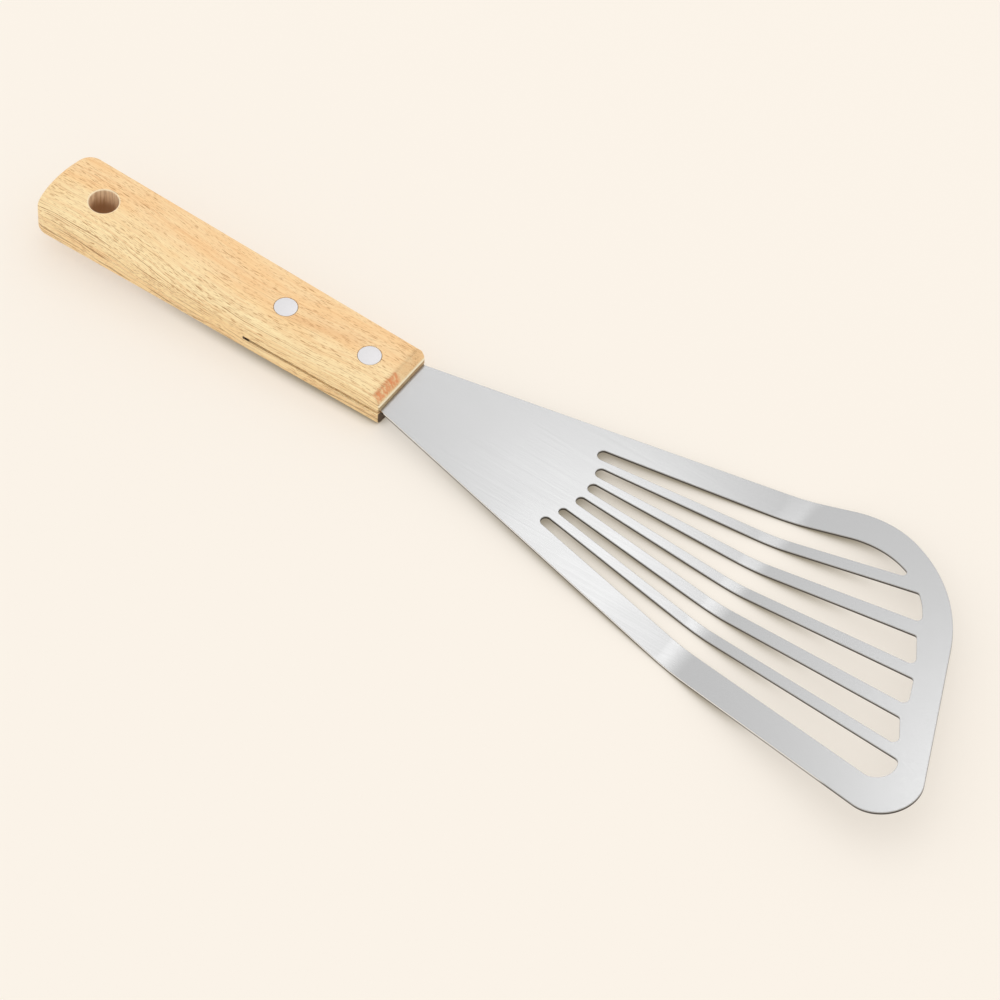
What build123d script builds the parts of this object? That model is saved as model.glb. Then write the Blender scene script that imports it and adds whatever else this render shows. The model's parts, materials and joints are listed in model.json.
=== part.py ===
"""Fish spatula: a slotted, bent steel blade, held in the saw kerf of a wooden handle by two rivets.

The part lies on a table as it rests there: on the front edge of the handle and on the bend of the blade.
+X runs along the handle toward the tip of the blade, +Y toward the side with the large round corner, +Z up.
The origin is on the table, under the middle of the whole part.
"""

import os
from math import asin, atan2, cos, hypot, radians, sin, tan

from build123d import *

# Blade sheet, seen from its side. Reaches count from the front of the handle
sheet = 1.0
bend_reach = 113.65  # middle of the bend
bend_radius = 47.0  # middle of the sheet
bend_angle = 11.4

# Blade outline, seen square to the neck. The far side has the large corner, the near side the small one
neck_half_width_far = 10.05
neck_half_width_near = 10.75
flare_far = 12.33  # of each side from the centre line
flare_near = 12.77
tip_past_bend = 64.95  # from the middle of the bend to the tip edge, on the centre line
tip_slant = 22.4  # tip edge from square
far_corner_cut_side = 22.6  # a cut across the large corner, from the sharp corner back along the far edge
far_corner_cut_tip = 19.8  # and along the tip edge
far_corner_radii = [33.3, 53.8]  # where the cut meets the far edge and the tip edge
near_corner_radius = 11.1

# Tang, the part of the sheet inside the handle
tang_length = 44.6
tang_half_width = 10.2
tang_shoulder = 2.0  # the neck starts this far inside the handle
tang_corner_radius = 3.0

# Slots. Each border is a straight line through a root station before the bend and an end station past it.
# Its places there are shares of the blade's half width on that side. The rows run from the farthest slot to
# the nearest one
root_before_bend = 42.75
end_past_bend = 47.25
root_station_far_shares = [0.698, 0.429, 0.171, -0.076, -0.332, -0.562]
root_station_near_shares = [0.532, 0.272, 0.024, -0.205, -0.452, -0.704]
end_station_far_shares = [0.763, 0.460, 0.149, -0.131, -0.391, -0.622]
end_station_near_shares = [0.553, 0.251, -0.049, -0.301, -0.548, -0.801]
slot_starts_before_bend = [56.15, 53.05, 51.75, 51.85, 53.55, 55.85]
slot_start_share = 0.49  # radius of a slot's round start, of its width there
slot_rims = [9.05, 9.05, 8.95, 8.2, 9.1, 7.9]  # metal left between a slot's end and the tip edge
slot_end_slants = [30.0, 30.0, 30.0, 22.0, 30.0, 22.0]  # from square
# Corner radii of the slots' ends, of the slot's width at the end station. The first slot has one corner only
slot_far_corner_shares = [0, 0.159, 0.144, 0.187, 0.202, 0.284]
slot_near_corner_shares = [0.116, 0.127, 0.155, 0.187, 0.202, 0.627]
slots_in_arc = 2  # the first slots end on an arc, beside the large corner
slots_arc_share = 0.6745  # radius of that arc, of the blade's far half width at the end station

# Handle. Its middle line lies to the near side of the rivets
handle_length = 123.5
handle_thickness = 11.5
handle_offset = 0.4
front_half_width = 11.4
butt_half_width = 13.3
butt_bulge = 2.3  # how far the middle of the butt stands past its corners
butt_corner_radius = 5.0
edge_radius = 1.6  # along the sides and round the butt
front_edge_radius = 0.8
front_bevel_run = 1.9  # of the sanded bevel on the front's top edge, back along the handle
front_bevel_drop = 3.7  # and down the front

# Kerf, sawn into the front of the handle, with a void left past the tang
kerf_clearance = 0.04  # on each face of the sheet
kerf_void = 1.1

# Hole to hang the spatula by
hole_from_butt = 17.1
hole_radius = 4.4
hole_rim_radius = 0.5

# Rivets
front_rivet_reach = 11.65
rear_rivet_from_tang_end = 3.55
head_radius = 3.5
head_thickness = 1.5
head_edge = 0.15  # broken edge of a head
socket_radius = 2.0
pin_radius = 1.3
pin_point = 0.4  # chamfer on the end of the pin
rivet_clearance = 0.03  # round the heads, the shanks and the pin
socket_gap = 0.5  # from the mouth of the socket to the pin's head
pin_end_gap = 0.8  # from the end of the pin to the bottom of the socket

overrun = 2.0  # how far a cut runs past the wood or the sheet

# Places along the tool
tip_reach = bend_reach + tip_past_bend
root_station = bend_reach - root_before_bend
end_station = bend_reach + end_past_bend
hole_reach = handle_length - hole_from_butt
rivet_reaches = {"front": front_rivet_reach, "rear": tang_length - rear_rivet_from_tang_end}

# The table line touches the round front edge under the handle and the underside of the bend
half_thickness = handle_thickness / 2
half_sheet = sheet / 2
bend_start = bend_reach - bend_radius * radians(bend_angle) / 2
touch_run = bend_start + front_edge_radius
touch_rise = bend_radius + half_thickness - front_edge_radius
radius_step = bend_radius + half_sheet - front_edge_radius
lean = atan2(touch_rise, touch_run) - asin(radius_step / hypot(touch_run, touch_rise))
front_core = (half_thickness - front_edge_radius) * cos(lean) - front_edge_radius * sin(lean)
front_height = front_core + front_edge_radius


def half_width(x, share):
    """Half width of the blade at x, on the side that the share lies on."""
    at_front = neck_half_width_far if share > 0 else neck_half_width_near
    flare = flare_far if share > 0 else flare_near
    return at_front + x * tan(radians(flare))


def on_line(start, end, x):
    """The point at x on the line through two points."""
    slope = (end[1] - start[1]) / (end[0] - start[0])
    return (x, start[1] + slope * (x - start[0]))


def on_slant(start, end, reach, slant):
    """Where the line through two points meets a slanted line, which has this reach on the centre line."""
    slope = (end[1] - start[1]) / (end[0] - start[0])
    lag = tan(radians(slant))
    x = (reach - lag * on_line(start, end, 0)[1]) / (1 + lag * slope)
    return on_line(start, end, x)


# Outline of the blade and its tang
far_front = (-tang_shoulder, half_width(-tang_shoulder, 1))
near_front = (-tang_shoulder, -half_width(-tang_shoulder, -1))
far_corner = on_slant(far_front, (bend_reach, half_width(bend_reach, 1)), tip_reach, tip_slant)
near_corner = on_slant(near_front, (bend_reach, -half_width(bend_reach, -1)), tip_reach, tip_slant)
far_edge = Line(far_corner, far_front, mode=Mode.PRIVATE)
tip_edge = Line(far_corner, near_corner, mode=Mode.PRIVATE)
cut_start = far_edge.position_at(far_corner_cut_side, PositionMode.LENGTH)
cut_end = tip_edge.position_at(far_corner_cut_tip, PositionMode.LENGTH)
with BuildSketch() as outline:
    with BuildLine():
        Polyline(far_front, cut_start, cut_end, near_corner, near_front, close=True)
    make_face()
    Rectangle(tang_length, 2 * tang_half_width, align=(Align.MAX, Align.CENTER))
    fillet(outline.vertices().group_by(Axis.X)[0], tang_corner_radius)
    for corner, radius in zip((cut_start, cut_end), far_corner_radii):
        fillet(outline.vertices().sort_by_distance(corner)[0], radius)
    fillet(outline.vertices().sort_by_distance(near_corner)[0], near_corner_radius)


def border(root_share, end_share):
    """Border of a slot, as its points at the two stations."""
    at_root = (root_station, root_share * half_width(root_station, root_share))
    at_end = (end_station, end_share * half_width(end_station, end_share))
    return at_root, at_end


# Slot borders
far_borders = [border(*pair) for pair in zip(root_station_far_shares, end_station_far_shares)]
near_borders = [border(*pair) for pair in zip(root_station_near_shares, end_station_near_shares)]
slot_reaches = [tip_reach - rim / cos(radians(tip_slant)) for rim in slot_rims]

# Window, whose rounded corner ends the first slots
window_borders = (far_borders[0], near_borders[-1])
window_ends = [on_slant(*line, slot_reaches[0], tip_slant) for line in window_borders]
with BuildSketch() as window:
    with BuildLine():
        Polyline(window_borders[0][0], window_ends[0], window_ends[1], window_borders[1][0], close=True)
    make_face()
    slots_arc_radius = slots_arc_share * half_width(end_station, slots_arc_share)
    fillet(window.vertices().sort_by_distance(window_ends[0])[0], slots_arc_radius)
    with Locations((root_station, 0)):
        Rectangle(root_station, 2 * half_width(bend_reach, -1), align=(Align.MAX, Align.CENTER))

# Slots, each with a round start and a slanted end with rounded corners
slots = []
for number, start_before_bend in enumerate(slot_starts_before_bend):
    far_border = far_borders[number]
    near_border = near_borders[number]
    middle = [(far[0], (far[1] + near[1]) / 2) for far, near in zip(far_border, near_border)]
    middle_end = on_slant(*middle, slot_reaches[number], tip_slant)
    end_reach = middle_end[0] + middle_end[1] * tan(radians(slot_end_slants[number]))
    far_end = on_slant(*far_border, end_reach, slot_end_slants[number])
    near_end = on_slant(*near_border, end_reach, slot_end_slants[number])
    start = bend_reach - start_before_bend
    far_start = on_line(*far_border, start)
    near_start = on_line(*near_border, start)
    with BuildSketch() as slot:
        with BuildLine():
            Polyline(far_start, far_end, near_end, near_start, close=True)
        make_face()
        if number < slots_in_arc:
            add(window.sketch, mode=Mode.INTERSECT)
        end_width = far_border[1][1] - near_border[1][1]
        fillet(slot.vertices().sort_by_distance(near_end)[0], slot_near_corner_shares[number] * end_width)
        if slot_far_corner_shares[number]:
            fillet(slot.vertices().sort_by_distance(far_end)[0], slot_far_corner_shares[number] * end_width)
        start_radius = slot_start_share * (far_start[1] - near_start[1])
        fillet(slot.vertices().group_by(Axis.X)[0], start_radius)
    slots.append(slot.sketch)

# Profile of the bent sheet, from the end of the tang to past the tip
tip_run = near_corner[0] - bend_reach + overrun
with BuildSketch() as strip:
    with BuildLine():
        low_flat = Line((-tang_length - overrun, -half_sheet), (bend_start, -half_sheet))
        low_bend = JernArc(low_flat @ 1, low_flat % 1, bend_radius + half_sheet, bend_angle)
        low_tip = PolarLine(low_bend @ 1, tip_run, bend_angle)
        top_flat = Line((-tang_length - overrun, half_sheet), (bend_start, half_sheet))
        top_bend = JernArc(top_flat @ 1, top_flat % 1, bend_radius - half_sheet, bend_angle)
        top_tip = PolarLine(top_bend @ 1, tip_run, bend_angle)
        Line(low_flat @ 0, top_flat @ 0)
        Line(low_tip @ 1, top_tip @ 1)
    make_face()

# Frame of the tang. Its origin is on the sheet's middle at the front of the handle, and it leans to the table
flat_box = outline.sketch.bounding_box()

# The whole part's ends along X are the top of the tip and the rounded butt
bend_end = bend_start + bend_radius * sin(radians(bend_angle))
bend_rise = bend_radius * (1 - cos(radians(bend_angle)))
top_rise = half_sheet / cos(radians(bend_angle))
tip_rise = bend_rise + (flat_box.max.X - bend_end) * tan(radians(bend_angle)) + top_rise
tip_x = flat_box.max.X * cos(lean) + tip_rise * sin(lean)
butt_core = (handle_length - edge_radius) * cos(lean) + (half_thickness - edge_radius) * sin(lean)
butt_x = -butt_core - edge_radius
origin = (-(tip_x + butt_x) / 2, -flat_box.center().Y, front_height)
tang_plane = Plane(origin=origin, x_dir=(cos(lean), 0, -sin(lean)), z_dir=(sin(lean), 0, cos(lean)))
side_plane = Plane(origin=origin, x_dir=tang_plane.x_dir, z_dir=(0, -1, 0))
along = Axis(origin, tang_plane.x_dir)
upward = Axis(origin, tang_plane.z_dir)


def rivet_plane(reach, height):
    """Plane across a rivet, this high above the middle of the sheet."""
    return Plane(tang_plane.from_local_coords((-reach, 0, height)), tang_plane.x_dir, tang_plane.z_dir)


# Blade
with BuildPart() as blade:
    with BuildSketch(side_plane):
        add(strip.sketch)
    extrude(amount=flat_box.size.Y, both=True)
    with BuildSketch(tang_plane):
        add(outline.sketch)
    extrude(amount=tip_rise + overrun, both=True, mode=Mode.INTERSECT)
    with BuildSketch(tang_plane):
        for face in slots:
            add(face)
    extrude(amount=tip_rise + overrun, both=True, mode=Mode.SUBTRACT)
    for reach in rivet_reaches.values():
        with BuildSketch(rivet_plane(reach, 0)):
            Circle(socket_radius + rivet_clearance)
        extrude(amount=sheet + overrun, both=True, mode=Mode.SUBTRACT)

# Handle
handle_plane = Plane(tang_plane.from_local_coords((0, -handle_offset, 0)), tang_plane.x_dir, tang_plane.z_dir)
with BuildPart() as handle:
    with BuildSketch(handle_plane):
        with BuildLine():
            butt_corner_reach = handle_length - butt_bulge
            far_side = Line((0, front_half_width), (-butt_corner_reach, butt_half_width))
            butt = ThreePointArc(far_side @ 1, (-handle_length, 0), (-butt_corner_reach, -butt_half_width))
            near_side = Line(butt @ 1, (0, -front_half_width))
            Line(near_side @ 1, far_side @ 0)
        make_face()
    extrude(amount=half_thickness, both=True)
    butt_edges = handle.edges().filter_by(upward).sort_by(along)[:2]
    fillet(butt_edges, butt_corner_radius)
    rim_edges = handle.faces().sort_by(upward)[-1].edges() + handle.faces().sort_by(upward)[0].edges()
    front_edges = handle.faces().sort_by(along)[-1].edges()
    fillet([edge for edge in rim_edges if edge not in front_edges], edge_radius)
    fillet(handle.faces().sort_by(along)[-1].edges(), front_edge_radius)
    with BuildSketch(side_plane):
        with BuildLine():
            bevel_start = (-front_bevel_run, half_thickness)
            bevel_end = (0, half_thickness - front_bevel_drop)
            bevel_slope = Vector(*bevel_end) - Vector(*bevel_start)
            bevel_in = Vector(*bevel_start) - bevel_slope.normalized() * overrun
            bevel_out = Vector(*bevel_end) + bevel_slope.normalized() * overrun
            Polyline(bevel_in, bevel_out, (bevel_out.X, bevel_in.Y), close=True)
        make_face()
    extrude(amount=butt_half_width + overrun, both=True, mode=Mode.SUBTRACT)
    with BuildSketch(rivet_plane(hole_reach, 0)):
        Circle(hole_radius)
    extrude(amount=half_thickness + overrun, both=True, mode=Mode.SUBTRACT)
    rims = handle.edges().filter_by(GeomType.CIRCLE).filter_by(lambda edge: edge.is_closed)
    fillet(rims, hole_rim_radius)
    with BuildSketch(side_plane):
        with Locations((overrun, 0)):
            kerf_run = tang_length + kerf_void + overrun
            Rectangle(kerf_run, sheet + 2 * kerf_clearance, align=(Align.MAX, Align.CENTER))
        with Locations((overrun - kerf_run, 0)):
            Circle(half_sheet + kerf_clearance)
    extrude(amount=butt_half_width + overrun, both=True, mode=Mode.SUBTRACT)
    for reach in rivet_reaches.values():
        with BuildSketch(rivet_plane(reach, 0)):
            Circle(socket_radius + rivet_clearance)
        extrude(amount=half_thickness + overrun, both=True, mode=Mode.SUBTRACT)
        for side in (1, -1):
            seat = half_thickness - head_thickness
            with BuildSketch(rivet_plane(reach, side * seat)):
                Circle(head_radius + rivet_clearance)
            extrude(amount=side * (head_thickness + overrun), mode=Mode.SUBTRACT)

# Rivets, each a pin pressed from above into a socket from below
rivet_parts = {}
for place, reach in rivet_reaches.items():
    with BuildPart() as pin:
        with BuildSketch(rivet_plane(reach, half_thickness)):
            Circle(head_radius)
        extrude(amount=-head_thickness)
        chamfer(pin.faces().sort_by(upward)[-1].edges(), head_edge)
        with BuildSketch(rivet_plane(reach, half_thickness)):
            Circle(pin_radius)
        extrude(amount=head_thickness + pin_end_gap - handle_thickness)
        chamfer(pin.faces().sort_by(upward)[0].edges(), pin_point)
    with BuildPart() as socket:
        with BuildSketch(rivet_plane(reach, -half_thickness)):
            Circle(head_radius)
        extrude(amount=head_thickness)
        chamfer(socket.faces().sort_by(upward)[0].edges(), head_edge)
        with BuildSketch(rivet_plane(reach, head_thickness - half_thickness)):
            Circle(socket_radius)
            Circle(pin_radius + rivet_clearance, mode=Mode.SUBTRACT)
        extrude(amount=handle_thickness - 2 * head_thickness - socket_gap)
    rivet_parts[f"rivet_{place}_pin"] = pin.part
    rivet_parts[f"rivet_{place}_socket"] = socket.part

# Files
os.makedirs("parts", exist_ok=True)
blade.part.label = "blade"
export_step(blade.part, "parts/blade.step")
handle.part.label = "handle"
export_step(handle.part, "parts/handle.step")
for name, piece in rivet_parts.items():
    piece.label = name
    export_step(piece, f"parts/{name}.step")
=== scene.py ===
# %% [markdown]
# # A slotted turner with a wooden handle
# The object is a fish spatula: a thin steel blade, bent once and cut with six slots, whose tang sits in the
# saw kerf of a light wooden handle and is held there by two rivets. The CAD model gives every place and
# size. This lesson dresses it: it builds each piece again with the fine detail that a real one has, and
# gives each its finish.

# %% Load the frame
import json
import math

import bmesh
import bpy
from mathutils import Euler, Matrix, Vector
from mathutils.geometry import delaunay_2d_cdt


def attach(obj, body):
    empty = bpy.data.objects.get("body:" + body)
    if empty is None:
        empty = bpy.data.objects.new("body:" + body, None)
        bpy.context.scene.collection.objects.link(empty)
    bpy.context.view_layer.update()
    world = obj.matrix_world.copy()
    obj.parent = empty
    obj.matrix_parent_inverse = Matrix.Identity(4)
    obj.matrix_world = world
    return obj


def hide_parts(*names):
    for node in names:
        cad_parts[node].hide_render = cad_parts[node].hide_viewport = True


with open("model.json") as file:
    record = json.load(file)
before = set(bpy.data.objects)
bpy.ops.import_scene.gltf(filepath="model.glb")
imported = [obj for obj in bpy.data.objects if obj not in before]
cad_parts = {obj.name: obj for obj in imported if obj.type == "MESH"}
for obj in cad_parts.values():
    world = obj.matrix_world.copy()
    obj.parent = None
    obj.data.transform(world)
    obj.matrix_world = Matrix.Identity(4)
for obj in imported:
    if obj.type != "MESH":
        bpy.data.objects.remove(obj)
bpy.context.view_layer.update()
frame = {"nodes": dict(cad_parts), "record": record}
scene = bpy.context.scene
print("CAD nodes:", sorted(frame["nodes"]))

# %% [markdown]
# The spatula lies tilted: it rests on the front edge of its handle and on the bend of its blade. It is
# easiest to think of it as the maker does, along its own straight line, and to lean it at the very end. So
# all sizes below are in millimetres on the tool: x runs from the front of the handle to the tip, y to the
# side with the large round corner, and z is square to the sheet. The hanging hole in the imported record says
# where that line lies.

# %% From the tool to the table
MM = 0.001
HOLE_REACH = 106.4  # from the front of the handle back to the hanging hole

hole = next(m for m in frame["record"]["mounts"] if m["name"] == "hang_hole")
tool_up = Vector(hole["axis"]).normalized()
tool_along = Vector((tool_up.z, 0, -tool_up.x))
tool_across = Vector((0, 1, 0))
tool_origin = Vector(hole["pos_m"]) + tool_along * HOLE_REACH * MM


def on_table(point):
    """A point of the tool, in millimetres, as a place in the scene, in metres."""
    x, y, z = point
    return tool_origin + (tool_along * x + tool_across * y + tool_up * z) * MM


def turned_to_table(direction):
    """A direction on the tool as a direction in the scene."""
    x, y, z = direction
    return tool_along * x + tool_across * y + tool_up * z


lean = math.atan2(tool_up.x, tool_up.z)
print("the tool leans", round(math.degrees(lean), 2), "degrees")
print("its front is at", tuple(round(v, 4) for v in tool_origin))

# %% [markdown]
# The camera comes before the looks, because what matters most is what it sees. It was found by matching the
# rivets, the hole and the bend in the photograph: a long lens a good metre away, looking down at about 51
# degrees. It is placed by a point that it looks at, two angles and a distance, which is easier to read than
# a matrix.

# %% Camera
CAMERA_AIM = (0.00737, -0.00704, 0)
CAMERA_SIDE = 34.039  # degrees that it stands round from the near side towards the tip
CAMERA_HEIGHT = 51.028  # degrees above the table
CAMERA_ROLL = 1.03
CAMERA_DISTANCE = 1.2522
CAMERA_LENS, CAMERA_SENSOR = 162, 36

camera = bpy.data.objects.new("camera", bpy.data.cameras.new("camera"))
scene.collection.objects.link(camera)
camera.data.lens = CAMERA_LENS
camera.data.sensor_width = CAMERA_SENSOR
turn = Euler((math.radians(90 - CAMERA_HEIGHT), 0, math.radians(CAMERA_SIDE)), "XYZ").to_matrix()
roll = Matrix.Rotation(math.radians(CAMERA_ROLL), 3, "Z")
camera.matrix_world = (turn @ roll).to_4x4()
camera.location = Vector(CAMERA_AIM) + turn @ Vector((0, 0, CAMERA_DISTANCE))
scene.camera = camera
print("camera at", tuple(round(v, 3) for v in camera.location))

# %% [markdown]
# Materials are made of nodes, so a few short helpers keep them readable: one adds a node and sets its
# inputs by name, and the others stand for the sums that come up again and again. Most of what a finish
# shows comes in softly between two places, so the step is the helper that is used most.

# %% Helpers for materials


class Finish:
    """A material under way, with its nodes."""

    def __init__(self, name):
        self.material = bpy.data.materials.new(name)
        self.material.use_nodes = True
        self.tree = self.material.node_tree
        self.shader = self.tree.nodes["Principled BSDF"]

    def node(self, kind, out=0, settings=None, **inputs):
        """Adds a node and returns one of its outputs. Inputs are values or the outputs of other nodes, and go
        by the socket's name, or by its number after an i."""
        made = self.tree.nodes.new("ShaderNode" + kind)
        for key, value in (settings or {}).items():
            setattr(made, key, value)
        for key, value in inputs.items():
            numbered = key[1:].isdigit()
            socket = made.inputs[int(key[1:])] if numbered else made.inputs[key.replace("_", " ")]
            self.give(socket, value)
        return made.outputs[out]

    def give(self, socket, value):
        """Sets a socket to a value, or links it to an output."""
        if isinstance(value, bpy.types.NodeSocket):
            self.tree.links.new(value, socket)
        else:
            socket.default_value = value

    def set(self, name, value):
        """Gives the shader's own socket of this name a value or a link."""
        self.give(self.shader.inputs[name], value)

    def sum(self, operation, *values):
        """One sum, in a Math node."""
        inputs = {f"i{n}": value for n, value in enumerate(values)}
        return self.node("Math", settings={"operation": operation}, **inputs)

    def times(self, first, *others):
        """The product of all the values, as for regions that must hold together."""
        for other in others:
            first = self.sum("MULTIPLY", first, other)
        return first

    def between(self, share, low, high):
        """Goes from low to high as the share goes from 0 to 1."""
        return self.sum("MULTIPLY_ADD", share, high - low, low)

    def step(self, value, start, full, amount=1.0):
        """Goes smoothly from 0 at start to the amount at full. Either of the two may be the larger."""
        ends = (start, full, 0.0, amount) if start < full else (full, start, amount, 0.0)
        inputs = {f"i{n + 1}": end for n, end in enumerate(ends)}
        return self.node("MapRange", settings={"interpolation_type": "SMOOTHSTEP"}, i0=value, **inputs)

    def mix(self, share, first, second):
        """A mix of two colours."""
        return self.node("Mix", out=2, settings={"data_type": "RGBA"}, i0=share, i6=first, i7=second)

    def stretched(self, place, factors):
        """Coordinates times a factor on each axis, so that what is drawn with them is stretched."""
        return self.node("VectorMath", settings={"operation": "MULTIPLY"}, i0=place, i1=factors)

    def noise(self, place, factors, detail=2.0, roughness=0.5):
        """Soft noise. The factors say about how many of its features lie in a millimetre on each axis."""
        place = self.stretched(place, factors)
        return self.node("TexNoise", Vector=place, Scale=1.0, Detail=detail, Roughness=roughness)

    def layers(self, depth, often, detail, roughness=0.5):
        """Noise that depends on the depth alone, and so lies in layers."""
        settings = {"noise_dimensions": "1D"}
        inputs = {"W": depth, "Scale": often, "Detail": detail, "Roughness": roughness}
        return self.node("TexNoise", settings=settings, **inputs)

    def tool_place(self):
        """Coordinates along the tool, in millimetres."""
        place = self.node("TexCoord", out=3)
        moved = self.node("VectorMath", settings={"operation": "SUBTRACT"}, i0=place, i1=tuple(tool_origin))
        turned = self.node("VectorRotate", settings={"rotation_type": "Y_AXIS"}, Vector=moved, Angle=-lean)
        return self.stretched(turned, (1 / MM, 1 / MM, 1 / MM))

    def upright(self):
        """How squarely the surface faces up, out of the top of the tool: 1 up, 0 sideways, -1 down."""
        facing = self.node("NewGeometry", out=1)
        settings = {"operation": "DOT_PRODUCT"}
        return self.node("VectorMath", out=1, settings=settings, i0=facing, i1=tuple(tool_up))


def colour(red, green, blue):
    """A colour as a paint shop writes it, 0 to 255, in the linear values that Blender uses."""
    linear = []
    for value in (red, green, blue):
        share = value / 255
        linear.append(share / 12.92 if share <= 0.04045 else ((share + 0.055) / 1.055) ** 2.4)
    return (*linear, 1.0)


print("material helpers are ready")

# %% [markdown]
# The blade is stainless sheet with a satin face: brushed lightly from the handle to the tip, so it mirrors
# its surroundings only as broad soft tones. The brush marks are far finer than a pixel from a step away. So
# most of the look comes from the shader's anisotropy, which smears reflections across the marks, and a
# faint fine bump and some change in roughness break up the rest.

# %% Steel finish, brushed face
STEEL_GREY, STEEL_DARK = colour(190, 190, 190), colour(183, 183, 183)
BRUSHED, CLOUDED = (0.05, 5.0, 5.0), (0.06, 0.06, 0.06)
STEEL_ROUGH, BRUSH_ROUGH, CLOUD_ROUGH = 0.20, 0.05, 0.03  # all over, and what the marks and the clouds add
BRUSH_DEPTH = 0.00002

steel = Finish("satin_steel")
steel_place = steel.tool_place()
brush = steel.noise(steel_place, BRUSHED, 3.0, 0.6)
cloud = steel.noise(steel_place, CLOUDED)
brushed_face = steel.mix(brush, STEEL_GREY, STEEL_DARK)
rough = steel.between(brush, STEEL_ROUGH, STEEL_ROUGH + BRUSH_ROUGH)
steel.set("Roughness", steel.sum("MULTIPLY_ADD", cloud, CLOUD_ROUGH, rough))
steel.set("Normal", steel.node("Bump", Strength=0.04, Distance=BRUSH_DEPTH, Height=brush))
steel.set("Metallic", 1.0)
steel.set("Anisotropic", 0.2)
steel.set("Tangent", steel.node("Tangent", settings={"direction_type": "UV_MAP", "uv_map": "along"}))
print("steel's face has", len(steel.tree.nodes), "nodes")

# %% [markdown]
# The walls of the slots and the edge of the blade are grey above and nearly black below, and the black is
# painted shade. The near edge carries a bright line, a painted highlight. The material can tell a cut from a
# face by how squarely it faces up, and it reads the height on the edge from a map, level, that the blade's
# mesh will carry: 1 at the top, 0 in the middle of the sheet and -1 below. The near edge is a straight line,
# and so it is found from its two numbers.

# %% Steel finish, cut edges with painted shade and a painted highlight
# The first colour is a painted highlight for the near edge, the second painted shade for the lower part of
# the cuts
STEEL_PAINTED_HIGHLIGHT, STEEL_PAINTED_SHADE = colour(250, 249, 248), colour(84, 80, 76)
NECK_NEAR, FLARE_NEAR = 10.75, 12.77  # the near edge: its half width at the handle, and its angle
FACE_UP, CUT_UP = 0.75, 0.4  # how squarely a face and a cut face up, at most and at least
SHADE_TOP, GREY_FROM = 0.2, 0.6  # levels on the edge
HIGHLIGHT_FROM, HIGHLIGHT_TO = -0.1, 0.25
NEAR_EDGE_OUT, NEAR_EDGE_IN = 0.2, 0.6  # how far in from the near edge it is certain, and where it ends
NEAR_EDGE_STOP, NEAR_EDGE_END = 168.0, 172.0  # it fades out where the small corner begins

cut_face = steel.step(steel.sum("ABSOLUTE", steel.upright()), FACE_UP, CUT_UP)
steel_x, steel_y, _ = steel.node("SeparateXYZ", Vector=steel_place).node.outputs
from_near = steel.sum("MULTIPLY_ADD", steel_x, math.tan(math.radians(FLARE_NEAR)), steel_y)
from_near = steel.sum("ADD", from_near, NECK_NEAR)
# Where the painted highlight lies along the near edge
near_highlight = steel.times(
    steel.step(from_near, NEAR_EDGE_IN, NEAR_EDGE_OUT), steel.step(steel_x, NEAR_EDGE_END, NEAR_EDGE_STOP))
level = steel.node("SeparateXYZ", Vector=steel.node("UVMap", settings={"uv_map": "level"}))
# Painted shade: the lower part of each cut goes nearly black
wall = steel.mix(steel.step(level, SHADE_TOP, GREY_FROM), STEEL_PAINTED_SHADE, STEEL_DARK)
# Painted highlight: a bright line along the near edge
wall = steel.mix(steel.times(steel.step(level, HIGHLIGHT_FROM, HIGHLIGHT_TO), near_highlight), wall, STEEL_PAINTED_HIGHLIGHT)
steel.set("Base Color", steel.mix(cut_face, brushed_face, wall))
print("steel has", len(steel.tree.nodes), "nodes")

# %% [markdown]
# The handle is a light, open-grained hardwood of the rubber tree kind. Up close it shows broad tones that
# run along the grain, fine fibres, a great many short dark pores, and a few long dark lines on the side
# that faces us. Wood is drawn best in three dimensions, as if the board were sawn from a log, because then
# the sides, the rounded edges and the end grain all agree with the top. The grain of this board sways a
# little on its way from the butt to the front, and a cosine added to the coordinates carries everything
# along with it. The depth in the log, which the growth rings follow, wanders a little besides.

# %% Wood finish, grain
GRAIN_DRIFT = 0.03  # sideways, for each millimetre along
GRAIN_SWAY, SWAY_LENGTH, SWAY_MIDDLE = 1.49, 110.0, -52.0
WANDERS, WANDER_WIDTH = (0.03, 0.12, 0.12), 5.0

wood = Finish("oiled_wood")
wood_place = wood.tool_place()
along, across, height = wood.node("SeparateXYZ", Vector=wood_place).node.outputs
sway_turn = 2 * math.pi / SWAY_LENGTH
sway = wood.sum("COSINE", wood.sum("MULTIPLY_ADD", along, sway_turn, -SWAY_MIDDLE * sway_turn))
drift = wood.sum("MULTIPLY_ADD", sway, GRAIN_SWAY, wood.sum("MULTIPLY_ADD", along, GRAIN_DRIFT, across))
grain = wood.node("CombineXYZ", X=along, Y=drift, Z=height)
wander = wood.noise(grain, WANDERS)
depth = wood.sum("ADD", height, wood.sum("MULTIPLY_ADD", wander, WANDER_WIDTH, drift))
print("the grain sways by", 2 * GRAIN_SWAY, "mm")

# %% [markdown]
# The tones come first: a pinkish tan towards the far side, a pale yellow towards the near side and along its
# edge, which is painted highlight, soft patches, the growth rings, one darker figure that crosses between the
# rivets, and the fibres over all.

# %% Wood finish, tones
WOOD_LIGHT, WOOD_TAN = colour(255, 228, 176), colour(254, 216, 158)
WOOD_PINK, WOOD_RED, WOOD_HIGHLIGHT_YELLOW = colour(251, 205, 152), colour(226, 168, 112), colour(255, 234, 182)
PATCHES, RINGS, FIBRES = (0.05, 0.2, 0.2), 0.7, (0.12, 4.5, 4.5)  # how many in a millimetre
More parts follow.
